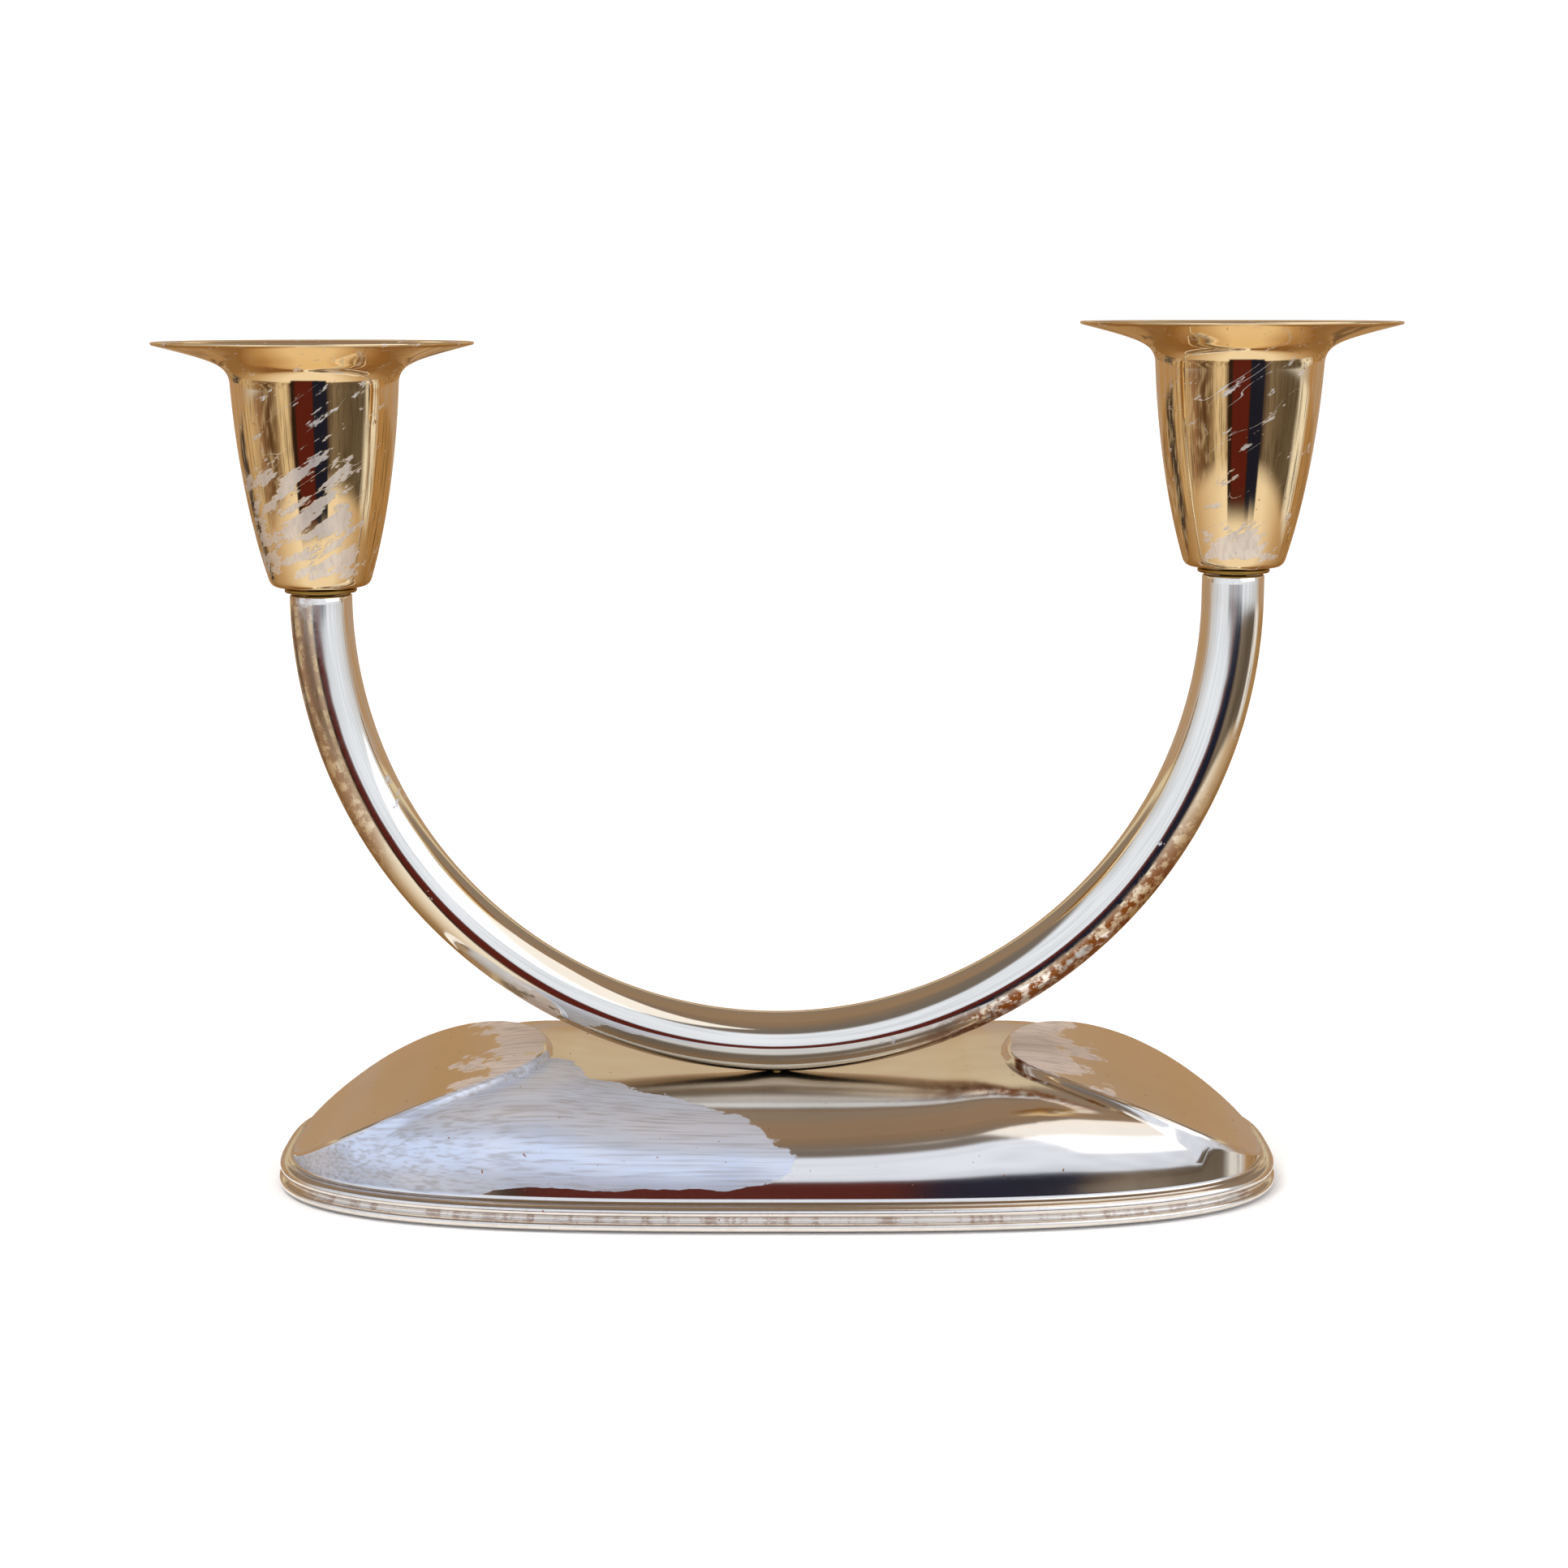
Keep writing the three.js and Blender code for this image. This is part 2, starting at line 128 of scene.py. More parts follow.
def new_material(name):
    """A material with a principled shader, and the place on the piece in millimetres."""
    material = bpy.data.materials.new(name)
    material.use_nodes = True
    tree = material.node_tree
    shader = tree.nodes["Principled BSDF"]
    coordinates = add(tree, "ShaderNodeTexCoord").outputs["Object"]
    scale = {0: coordinates, "Scale": 1 / MM}
    place = add(tree, "ShaderNodeVectorMath", scale, operation="SCALE").outputs[0]
    return material, tree, shader, place


# ---------------------------------------------------------------- silver plate and its lacquer

RUBBED_CLOUD = linear("#efe7e0")
RUBBED_STREAK = linear("#9a938f")
TARNISH = linear("#935620")
LACQUER_EDGE = 0.02  # width of a worn edge, in units of the wear noise


def darker(colour, share):
    return tuple(c * share for c in colour[:3]) + (1,)


def silver_finish(tree, shader, place, lacquer, bare_colour_and_reflection, wear, tarnish, grain_stretch,
                  gloss=0.05, bare_metal=0.62, streaks=0.5):
    """Polished silver plate under glossy lacquer. Where wear is above a half the lacquer has gone: the silver
    there is bare and worn fine by rubbing, paler and duller, with a sharp edge. Tarnish darkens it in spots.
    The colour given for the bare silver is its own tone, and on the base it also holds a painted reflection."""
    bare = ramp_between(tree, wear, 0.5, 0.5 + LACQUER_EDGE)
    rubbing = noise(tree, place, 0.5, stretch=grain_stretch, detail=4)

    # Tone: cloudy and streaked where it is bare, unevenly yellowed where it is lacquered.
    cloud = noise(tree, place, 9.0, detail=3, seed=7.0)
    bare_tone_and_reflection = blend(tree, product(tree, cloud, 0.5), bare_colour_and_reflection, RUBBED_CLOUD)
    streak = product(tree, ramp_between(tree, rubbing, 0.42, 0.68), streaks)
    bare_tone_and_reflection = blend(tree, streak, bare_tone_and_reflection, RUBBED_STREAK)
    yellowing = ramp_between(tree, noise(tree, place, 22.0, detail=2, seed=3.0), 0.25, 0.75)
    lacquer_tone = blend(tree, yellowing, lacquer, darker(lacquer, 0.93))
    tone = blend(tree, bare, lacquer_tone, bare_tone_and_reflection)
    tone = blend(tree, tarnish, tone, TARNISH)

    # Gloss: rubbed metal is duller than lacquer, and tarnish duller still.
    rubbed_gloss = maths(tree, "ADD", 0.24, product(tree, rubbing, 0.22))
    gloss = blend_values(tree, bare, gloss, rubbed_gloss)
    gloss = maths(tree, "ADD", gloss, product(tree, tarnish, 0.3))
    metallic = blend_values(tree, bare, 1.0, bare_metal)

    # Relief: the thickness of the lacquer, the rubbing, and the slight waves of a pressed or spun sheet.
    film = add(tree, "ShaderNodeBump", {"Height": bare, "Strength": 0.25, "Distance": -0.00004}).outputs[0]
    rub_height = product(tree, rubbing, bare)
    rub_bump = {"Height": rub_height, "Strength": 0.15, "Distance": 0.00006, "Normal": film}
    rub = add(tree, "ShaderNodeBump", rub_bump).outputs[0]
    wave_height = noise(tree, place, 9.0, detail=1, seed=11.0)
    wave_bump = {"Height": wave_height, "Strength": 0.1, "Distance": 0.0003, "Normal": rub}
    wave = add(tree, "ShaderNodeBump", wave_bump).outputs[0]

    sockets = {"Base Color": tone, "Roughness": gloss, "Metallic": metallic, "Normal": wave}
    for socket, value in sockets.items():
        tree.links.new(value, shader.inputs[socket])


def split(tree, place):
    return add(tree, "ShaderNodeSeparateXYZ", {0: place}).outputs


def hairlines(tree, place, size_mm, stretch, seed, width=0.0016):
    """Thin wandering lines: 1 on a line, 0 off it."""
    field = noise(tree, place, size_mm, stretch=stretch, detail=1, seed=seed)
    off_line = maths(tree, "ABSOLUTE", maths(tree, "SUBTRACT", field, 0.5))
    return ramp_between(tree, off_line, width, width / 2)


def off_the_panels(tree, along, y, z):
    """1 on the dome, the step and the rim, and 0 on the two panels."""
    back = maths(tree, "MAXIMUM", maths(tree, "SUBTRACT", PANEL_WIDEST, along), 0.0)
    back = maths(tree, "DIVIDE", back, PANEL_WIDEST - PANEL_START)
    across = maths(tree, "DIVIDE", y, PANEL_HALF_WIDTH)
    leaf = maths(tree, "SQRT", maths(tree, "ADD", product(tree, back, back), product(tree, across, across)))
    run = maths(tree, "SUBTRACT", along, PANEL_START)
    run = maths(tree, "DIVIDE", run, HALF_LENGTH - RIM_WIDTH - PANEL_START)
    fall = maths(tree, "POWER", maths(tree, "MAXIMUM", run, 0.0), PANEL_ARCH_POWER)
    panel_z = maths(tree, "SUBTRACT", PANEL_TOP, product(tree, fall, PANEL_TOP - PANEL_END_Z))
    below_panel = ramp_between(tree, maths(tree, "SUBTRACT", panel_z, z), 0.3, 0.8)
    return maths(tree, "MAXIMUM", ramp_between(tree, leaf, 1.0, 1.03), below_panel)


def base_wear(tree, place, off_panel):
    """Lacquer gone from the dome at the front left, and in patches from the inner ends of the panels."""
    x, y, z = split(tree, place)
    along = maths(tree, "ABSOLUTE", x)
    patches = noise(tree, place, 8.0, detail=7, roughness=0.6, seed=2.0)

    # The bare place runs on further to the right towards the front edge.
    lean = product(tree, ramp_between(tree, y, -2.0, -26.0, smooth=False), 38.0)
    left_side = ramp_between(tree, maths(tree, "SUBTRACT", x, lean), -24.0, -48.0, smooth=False)
    front = ramp_between(tree, y, 3.0, -3.0)

    # It ends above the rim, and comes down nearer to it at the left end.
    lifted = maths(tree, "ADD", z, product(tree, ramp_between(tree, x, -36.0, -52.0), 3.0))
    on_dome = product(tree, ramp_between(tree, lifted, 4.6, 7.5), ramp_between(tree, z, 4.3, 4.8))
    reach = product(tree, left_side, front, on_dome, off_panel)

    tip = product(tree, ramp_between(tree, along, 35.0, 38.0), ramp_between(tree, along, 64.0, 40.0),
                  ramp_between(tree, off_panel, 1.0, 0.5))
    amount = maths(tree, "MAXIMUM", reach, product(tree, tip, 0.74))
    return maths(tree, "ADD", product(tree, patches, 0.5), product(tree, amount, 0.46))


def base_tarnish(tree, place):
    """Brown specks in the rim's groove, a few low on the dome, and single dark pits anywhere."""
    z = split(tree, place)[2]
    groove = product(tree, ramp_between(tree, z, 2.7, 2.1), ramp_between(tree, z, 1.3, 1.7))
    low = ramp_between(tree, z, 5.2, 3.8)
    specks = ramp_between(tree, noise(tree, place, 2.2, detail=6, roughness=0.72, seed=5.0), 0.5, 0.6)
    dirt = product(tree, maths(tree, "MAXIMUM", product(tree, groove, 0.4), product(tree, low, 0.08)), specks)
    pits = ramp_between(tree, noise(tree, place, 0.9, detail=3, seed=9.0), 0.72, 0.75)
    return maths(tree, "MAXIMUM", dirt, pits)


def pressed_silver_plate():
    """The base: pale lacquer; bare silver, worn by rubbing, whose colour holds a painted reflection,
    blue-white on the dome for the window mirrored there and warm on the panels for the tan wall mirrored
    there; and a brown groove.
    """
    material, tree, shader, place = new_material("pressed_silver_plate")
    x, y, z = split(tree, place)
    off_panel = off_the_panels(tree, maths(tree, "ABSOLUTE", x), y, z)
    # Painted reflection: the bare silver is tinted blue-white off the panels for the window that the dome
    # mirrors, and warm on the panels for the tan wall that they mirror.
    bare_colour_and_reflection = blend(tree, off_panel, linear("#e6d8d2"), linear("#c3d0e6"))
    silver_finish(tree, shader, place, linear("#e9e2d9"), bare_colour_and_reflection, base_wear(tree, place, off_panel),
                  base_tarnish(tree, place), (0.03, 1, 1), gloss=0.13)
    return material


def drawn_silver_tube():
    """The arm: bright lacquered silver, a few worn places, and orange-brown tarnish on its outside."""
    material, tree, shader, place = new_material("drawn_silver_tube")
    x, y, z = split(tree, place)
    patches = noise(tree, place, 7.0, detail=6, roughness=0.62, seed=8.0)
    wear = maths(tree, "SUBTRACT", patches, 0.17)

    # The tarnish: along the lower right, thinner up the left side, and only on the outside of the bend.
    right = product(tree, ramp_between(tree, x, 16.0, 34.0), ramp_between(tree, z, 66.0, 44.0))
    left = product(tree, ramp_between(tree, x, -58.0, -64.0), 0.55)
    rise = maths(tree, "POWER", maths(tree, "SUBTRACT", z, ARC_CENTRE_Z), 2.0)
    away = maths(tree, "SQRT", maths(tree, "ADD", product(tree, x, x), rise))
    outside = ramp_between(tree, away, ARC_RADIUS - 0.5, ARC_RADIUS + 2.0)
    band = product(tree, maths(tree, "MAXIMUM", right, left), outside)
    specks = ramp_between(tree, noise(tree, place, 2.4, detail=7, roughness=0.72, seed=4.0), 0.42, 0.54)
    tarnish = product(tree, specks, band)
    silver_finish(tree, shader, place, linear("#efe8db"), linear("#dcdfe6"), wear, tarnish, (1, 1, 1),
                  gloss=0.08)
    return material


def spun_lacquered_cup(name, seed, aside, half_width, wear_top, wear_amount):
    """A cup: deep golden lacquer with scratches, worn through low on the front of the barrel. The worn place
    is centred at aside, is half_width to each side, and reaches up to wear_top."""
    material, tree, shader, place = new_material(name)
    x, y, z = split(tree, place)
    mapping = {"Vector": place, "Rotation": (0, math.radians(35), 0)}
    turned = add(tree, "ShaderNodeMapping", mapping).outputs[0]
    patches = noise(tree, turned, 2.6, stretch=(0.3, 1, 1.5), detail=7, roughness=0.66, seed=seed)
    low = ramp_between(tree, z, wear_top, wear_top - 9.0)
    above_foot = ramp_between(tree, z, 1.2, 2.4)
    front = ramp_between(tree, y, 0.0, -4.0)
    beside = maths(tree, "ABSOLUTE", maths(tree, "SUBTRACT", x, aside))
    within = ramp_between(tree, beside, half_width + 2.5, half_width - 2.5)
    amount = product(tree, low, front, within, above_foot)
    scratches = hairlines(tree, turned, 5.0, (0.07, 1, 1.4), seed + 4)
    wear = maths(tree, "ADD", product(tree, patches, 0.8), product(tree, amount, wear_amount))
    wear = maths(tree, "ADD", wear, product(tree, scratches, 0.1))
    pits = ramp_between(tree, noise(tree, place, 1.3, detail=5, roughness=0.7, seed=seed + 9), 0.68, 0.71)
    silver_finish(tree, shader, place, linear("#f2dcb4"), linear("#efe6de"), wear, pits, (1, 1, 0.2),
                  gloss=0.06, bare_metal=0.85, streaks=0.2)
    return material


def plain_metal(name, hex_colour, roughness, grain_mm):
    """Turned or rolled bare metal: an even tone with fine tool marks."""
    material, tree, shader, place = new_material(name)
    marks = noise(tree, place, grain_mm, stretch=(0.1, 0.1, 1), detail=3)
    base = linear(hex_colour)
    tree.links.new(blend(tree, marks, darker(base, 0.7), base), shader.inputs["Base Color"])
    rough = maths(tree, "ADD", product(tree, marks, 0.2), roughness - 0.1)
    tree.links.new(rough, shader.inputs["Roughness"])
    bump = add(tree, "ShaderNodeBump", {"Height": marks, "Strength": 0.2, "Distance": 0.0001})
    tree.links.new(bump.outputs[0], shader.inputs["Normal"])
    shader.inputs["Metallic"].default_value = 1.0
    return material


def cast_iron():
    """Sand-cast iron: dark grey, dull and grainy."""
    material, tree, shader, place = new_material("sand_cast_iron")
    grain = noise(tree, place, 1.2, detail=5, roughness=0.7)
    tone = blend(tree, grain, linear("#2b2b2d"), linear("#55555a"))
    tree.links.new(tone, shader.inputs["Base Color"])
    bump = add(tree, "ShaderNodeBump", {"Height": grain, "Strength": 0.6, "Distance": 0.0003})
    tree.links.new(bump.outputs[0], shader.inputs["Normal"])
    shader.inputs["Metallic"].default_value = 0.8
    shader.inputs["Roughness"].default_value = 0.75
    return material


def wool_felt():
    """Pressed wool felt: matt green, with matted fibres."""
    material, tree, shader, place = new_material("pressed_wool_felt")
    fibres = noise(tree, place, 0.5, detail=6, roughness=0.75)
    cloud = noise(tree, place, 8.0, detail=2, seed=3.0)
    tone = blend(tree, fibres, linear("#22372a"), linear("#3f5d4a"))
    tone = blend(tree, product(tree, cloud, 0.4), tone, linear("#4a5a45"))
    tree.links.new(tone, shader.inputs["Base Color"])
    bump = add(tree, "ShaderNodeBump", {"Height": fibres, "Strength": 0.8, "Distance": 0.0003})
    tree.links.new(bump.outputs[0], shader.inputs["Normal"])
    shader.inputs["Roughness"].default_value = 0.95
    return material


# ---------------------------------------------------------------- mesh helpers


def add_piece(name, points, faces, material, location=(0, 0, 0)):
    """A smooth-shaded piece from points in millimetres."""
    mesh = bpy.data.meshes.new(name)
    mesh.from_pydata([Vector(p) * MM for p in points], [], faces)
    mesh.materials.append(material)
    mesh.validate()
    for polygon in mesh.polygons:
        polygon.use_smooth = True
    piece = bpy.data.objects.new(name, mesh)
    piece.location = Vector(location) * MM
    bpy.context.collection.objects.link(piece)
    return piece


def weld(piece, distance_mm=0.001):
    """Joins points that lie together, and drops the faces that close up with them."""
    work = bmesh.new()
    work.from_mesh(piece.data)
    bmesh.ops.remove_doubles(work, verts=work.verts, dist=distance_mm * MM)
    bmesh.ops.recalc_face_normals(work, faces=work.faces)
    work.to_mesh(piece.data)
    work.free()


def skin(rings, closed_along=False):
    """Faces between neighbouring rings of points, each ring closed on itself."""
    count = len(rings[0])
    points = [point for ring in rings for point in ring]
    faces = []
    bands = len(rings) if closed_along else len(rings) - 1
    for ring in range(bands):
        here = ring * count
        there = ((ring + 1) % len(rings)) * count
        for i in range(count):
            following = (i + 1) % count
            faces.append((here + i, there + i, there + following, here + following))
    return points, faces


def turn(profile, segments):
    """A body turned about Z from (radius, height) points. The profile is closed on itself."""
    angles = [2 * math.pi * i / segments for i in range(segments)]
    rings = []
    for radius, height in profile:
        rings.append([(radius * math.cos(a), radius * math.sin(a), height) for a in angles])
    return skin(rings, closed_along=True)


def bezier(points, steps):
    """A cubic curve through four control points."""
    curve = []
    for i in range(steps + 1):
        t = i / steps
        weights = ((1 - t) ** 3, 3 * t * (1 - t) ** 2, 3 * t * t * (1 - t), t**3)
        curve.append(tuple(sum(w * p[k] for w, p in zip(weights, points)) for k in (0, 1)))
    return curve


def rounded(points, steps):
    """A smooth curve through the points (Catmull-Rom)."""
    curve = []
    for i in range(len(points) - 1):
        before = points[max(i - 1, 0)]
        after = points[min(i + 2, len(points) - 1)]
        cubics = []
        for a, b, c, d in zip(before, points[i], points[i + 1], after):
            cubics.append((2 * b, c - a, 2 * a - 5 * b + 4 * c - d, 3 * b - a - 3 * c + d))
        for step in range(steps):
            t = step / steps
            curve.append(tuple(0.5 * (k0 + k1 * t + k2 * t * t + k3 * t**3) for k0, k1, k2, k3 in cubics))
    curve.append(points[-1])
    return curve



# ---------------------------------------------------------------- the base

HALF_LENGTH = 78.5
HALF_WIDTH = 33.5
PLAN_POWER = 3.0
SEAT_TOP = 15.3
RIDGE_RISE = 3.0
SHELL_THICKNESS = 1.1
RIM_WIDTH = 2.2
RIM_WALL = 3.6
RIM_FOOT_Z = 4.3
LIP_BOTTOM = 0.4
PANEL_START = 37.0
PANEL_WIDEST = 61.0
PANEL_HALF_WIDTH = 22.8
PANEL_TOP = 19.6
PANEL_END_Z = 4.9
PANEL_ARCH_POWER = 1.9
PANEL_STEP = 1.3  # from the panel's edge down to the dome beside it
PANEL_STEP_SHARE = 0.45  # of the height above the rim, where that is too low for the whole step
PANEL_LIP = 1.2
PANEL_MARGIN = 0.9
SPINE_END = 60.0
CREASE_ROUNDING = 2.5
SHOULDER_POWER = 8.0
FACE_POWER = 2.0
WALL_HEIGHT = 2.0
WALL_SHARE = 0.5  # of the height above the rim, where that is too low for the whole wall
FOOT_MARGIN = 0.3
SEAT_BOSS = 0.27
SEAT_BOSS_RADIUS = 3.2
CROWN_BLEND_WIDTH = 3.5
CROWN_BLEND_END = 54.0
CROWN_BLEND_FADE = 8.0
SHOULDER_SHARE = 0.6  # where the fine steps round the shoulder begin, from the lip to the foot
TIP_SPREAD = 2.4  # half the stretch of close rays at the panels' inner tips

# The rolled rim from the foot of the dome out and down: a bead, a groove and a lower lip, as (inset, height).
RIM_PROFILE = [
    (2.2, 4.3), (1.75, 4.12), (1.3, 4.2), (0.75, 4.05), (0.35, 3.65), (0.22, 3.2), (0.4, 2.75), (0.8, 2.4),
    (0.98, 2.1), (0.9, 1.8), (0.45, 1.6), (0.12, 1.4), (0.0, 1.05), (0.1, 0.65), (0.4, 0.4),
]


def outline_point(angle, inset):
    """The plan outline, a superellipse, moved in along its normal."""
    power = 2 / PLAN_POWER
    c, s = math.cos(angle), math.sin(angle)
    x = HALF_LENGTH * math.copysign(abs(c) ** power, c)
    y = HALF_WIDTH * math.copysign(abs(s) ** power, s)
    slope_x = math.copysign(abs(x / HALF_LENGTH) ** (PLAN_POWER - 1) / HALF_LENGTH, x)
    slope_y = math.copysign(abs(y / HALF_WIDTH) ** (PLAN_POWER - 1) / HALF_WIDTH, y)
    length = math.hypot(slope_x, slope_y)
    return x - inset * slope_x / length, y - inset * slope_y / length


def ridge_height(x):
    return SEAT_TOP + RIDGE_RISE * (x / PANEL_START) ** 2


def arch(t):
    """The share of the arch's height at t of the way out: flat on top, then a shoulder, then upright."""
    return max(1 - t**SHOULDER_POWER, 0) ** (1 / FACE_POWER)


def softer_min(first, second):
    """The smaller of two lengths, with the change from one to the other rounded off."""
    return (first**-4 + second**-4) ** -0.25


def panel_height(x):
    run = max((abs(x) - PANEL_START) / (HALF_LENGTH - RIM_WIDTH - PANEL_START), 0)
    return PANEL_TOP - (PANEL_TOP - PANEL_END_Z) * run**PANEL_ARCH_POWER


def depth_in_panel(x, y, to_foot):
    """How far a point lies inside the panel's edge. It is negative outside."""
    back = max(PANEL_WIDEST - abs(x), 0) / (PANEL_WIDEST - PANEL_START)
    leaf = (1 - math.hypot(back, y / PANEL_HALF_WIDTH)) * PANEL_HALF_WIDTH
    margin = to_foot - PANEL_MARGIN
    near = max(CREASE_ROUNDING - abs(leaf - margin), 0) / CREASE_ROUNDING
    return min(leaf, margin) - near * near * CREASE_ROUNDING / 4


# A line of the surface from the spine out to the foot of the dome. at gives the place at a share of the way
# out. edge and lip_end are the shares where the panel and its lip end, crown and wall_top are heights, and
# length is the line's length in plan.
Ray = namedtuple("Ray", "at edge lip_end crown wall_top length")


def surface_ray(angle, inset):
    x, _ = outline_point(angle, 0)
    foot_x, foot_y = outline_point(angle, inset)
    start_x = x
    if abs(x) > PANEL_START:
        spread = (SPINE_END - PANEL_START) / (HALF_LENGTH - PANEL_START)
        start_x = math.copysign(PANEL_START + (abs(x) - PANEL_START) * spread, x)
    length = math.hypot(foot_x - start_x, foot_y)

    def at(t):
        return start_x + (foot_x - start_x) * t, foot_y * t

    def crossing(depth):
        """The share of the way out where the ray last lies this deep in the panel."""
        if depth_in_panel(start_x, 0, length) < depth:
            return 0.0
        low, high = 0.0, 1.0
        for _ in range(30):
            middle = (low + high) / 2
            if depth_in_panel(*at(middle), (1 - middle) * length) > depth:
                low = middle
            else:
                high = middle
        return low

    edge = crossing(0)
    lip_end = min(crossing(-PANEL_LIP), 1 - FOOT_MARGIN / length)
    crown = ridge_height(start_x)
    wall_top = RIM_FOOT_Z + WALL_HEIGHT
    if edge > 0:
        edge_z = panel_height(at(edge)[0])
        step = softer_min(PANEL_STEP, PANEL_STEP_SHARE * (edge_z - RIM_FOOT_Z))
        dome_z = edge_z - step
        wall_top = RIM_FOOT_Z + softer_min(WALL_HEIGHT, WALL_SHARE * (dome_z - RIM_FOOT_Z))
        crown = wall_top + (dome_z - wall_top) / arch(edge)
    return Ray(at, edge, lip_end, crown, wall_top, length)


def blended_crown(rays, here):
    """The crown averaged over near rays, so that the dome has no crease where the panels begin."""
    x, y = here.at(1)
    if abs(x) > CROWN_BLEND_END:
        return here.crown
    total = weights = 0
    for ray in rays:
        near_x, near_y = ray.at(1)
        if near_y * y > 0 and abs(near_x - x) < 3 * CROWN_BLEND_WIDTH:
            weight = math.exp(-((near_x - x) / CROWN_BLEND_WIDTH) ** 2 / 2)
            total += weight * ray.crown
            weights += weight
    share = min((CROWN_BLEND_END - abs(x)) / CROWN_BLEND_FADE, 1)
    return here.crown + (total / weights - here.crown) * share


def ray_shares(ray, steps):
    """The shares of the way out with a point: on the panel, over its lip, on top and round the shoulder."""
    panel_steps, lip_steps, top_steps, face_steps = steps
    shares = [ray.edge * i / panel_steps for i in range(panel_steps + 1)]
    lip = ray.lip_end - ray.edge
    shares += [ray.edge + lip * (1 - math.cos(math.pi / 2 * i / lip_steps)) for i in range(1, lip_steps)]
    shares += [ray.lip_end]
    shoulder = ray.lip_end + SHOULDER_SHARE * (1 - ray.lip_end)
    shares += [ray.lip_end + (shoulder - ray.lip_end) * i / top_steps for i in range(1, top_steps + 1)]
    start_angle = math.asin(shoulder ** (SHOULDER_POWER / 2))
    for i in range(1, face_steps + 1):
        angle = start_angle + (math.pi / 2 - start_angle) * i / face_steps
        shares.append(math.sin(angle) ** (2 / SHOULDER_POWER))
    return shares


def surface_column(ray, crown, drop, steps):
    """Points of the dome along one ray, from the spine to the foot."""
    column = []
    for t in ray_shares(ray, steps):
        x, y = ray.at(t)
        dome = ray.wall_top + (crown - ray.wall_top) * arch(t)
        dome += SEAT_BOSS * math.exp(-(x * x + y * y) / (2 * SEAT_BOSS_RADIUS**2))
        depth = depth_in_panel(x, y, (1 - t) * ray.length)
        share = min(max(depth / PANEL_LIP + 1, 0), 1)
        rise = math.sqrt(1 - (1 - share) ** 2)
        column.append((x, y, dome + (panel_height(x) - dome) * rise - drop))
    wall = ray.wall_top - RIM_FOOT_Z
    column += [(*ray.at(1), ray.wall_top - wall * i / 3 - drop) for i in range(1, 4)]
    return column


def plan_angles(middle_steps, tip_steps, end_steps):
    """Angles round the plan, close together at the panels' inner tips and round the ends."""
    def angle_of(x):
        return math.acos((x / HALF_LENGTH) ** (PLAN_POWER / 2))

    outer, inner = PANEL_START + TIP_SPREAD, PANEL_START - TIP_SPREAD
    quarter = [angle_of(outer) * i / end_steps for i in range(end_steps)]
    quarter += [angle_of(outer - 2 * TIP_SPREAD * i / tip_steps) for i in range(tip_steps)]
    quarter += [angle_of(inner * (1 - i / middle_steps)) for i in range(middle_steps)]
    half = quarter + [math.pi / 2] + [math.pi - a for a in reversed(quarter)]
    return half + [2 * math.pi - a for a in reversed(half[1:-1])]


def dome_rings(angles, inset, drop, steps):
    rays = [surface_ray(a, inset) for a in angles]
    columns = [surface_column(ray, blended_crown(rays, ray), drop, steps) for ray in rays]
    return [list(ring) for ring in zip(*columns)]


def base_shell():
    """The outside from the spine to the foot, round the rolled rim, and back up the inside."""
    angles = plan_angles(26, 18, 46)
    rings = dome_rings(angles, RIM_WIDTH, 0, (8, 7, 14, 22))
    for inset, z in rounded(RIM_PROFILE, 3)[1:]:
        rings.append([(*outline_point(a, inset), z) for a in angles])
    rings.append([(*outline_point(a, RIM_WALL), LIP_BOTTOM) for a in angles])
    rings += dome_rings(angles, RIM_WALL, SHELL_THICKNESS, (4, 3, 3, 8))[::-1]
    piece = add_piece("pressed_base", *skin(rings), pressed_silver_plate())
    weld(piece)
    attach(piece, "stand")
    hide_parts("base_shell")


# ---------------------------------------------------------------- the arm

TUBE_RADIUS = 4.75
TUBE_BORE_RADIUS = 3.75
ARC_RADIUS = 70.2
GAP = 0.3
ARC_CENTRE_Z = SEAT_TOP + GAP + TUBE_RADIUS + ARC_RADIUS
LEG = {"left": 1.0, "right": 4.1}  # straight above the half circle
TUBE_STEPS, BORE_STEPS, TUBE_SIDES = 180, 60, 48
TUBE_END_ROUNDING = 0.25
STUD_RADIUS = 2.0
AXIS_RADIUS = 0.001  # close enough to the axis for weld to close the end
ARM_STUD_DEPTH = 8.0
ARM_STUD_HEAD_RADIUS = 2.8
ARM_STUD_NECK_RADIUS = 0.9
ARM_STUD_CHAMFER = 0.3


def tube_ring(along, radius):
    """A ring round the tube, along millimetres from its left end."""
    run = along - LEG["left"]
    arc = math.pi * ARC_RADIUS
    swing = min(max(run / ARC_RADIUS, 0), math.pi)
    straight = max(-run, run - arc, 0)
    points = []
    for i in range(TUBE_SIDES):
        angle = 2 * math.pi * i / TUBE_SIDES
        out = ARC_RADIUS + radius * math.cos(angle)
        z = ARC_CENTRE_Z - out * math.sin(swing) + straight
        points.append((-out * math.cos(swing), radius * math.sin(angle), z))
    return points


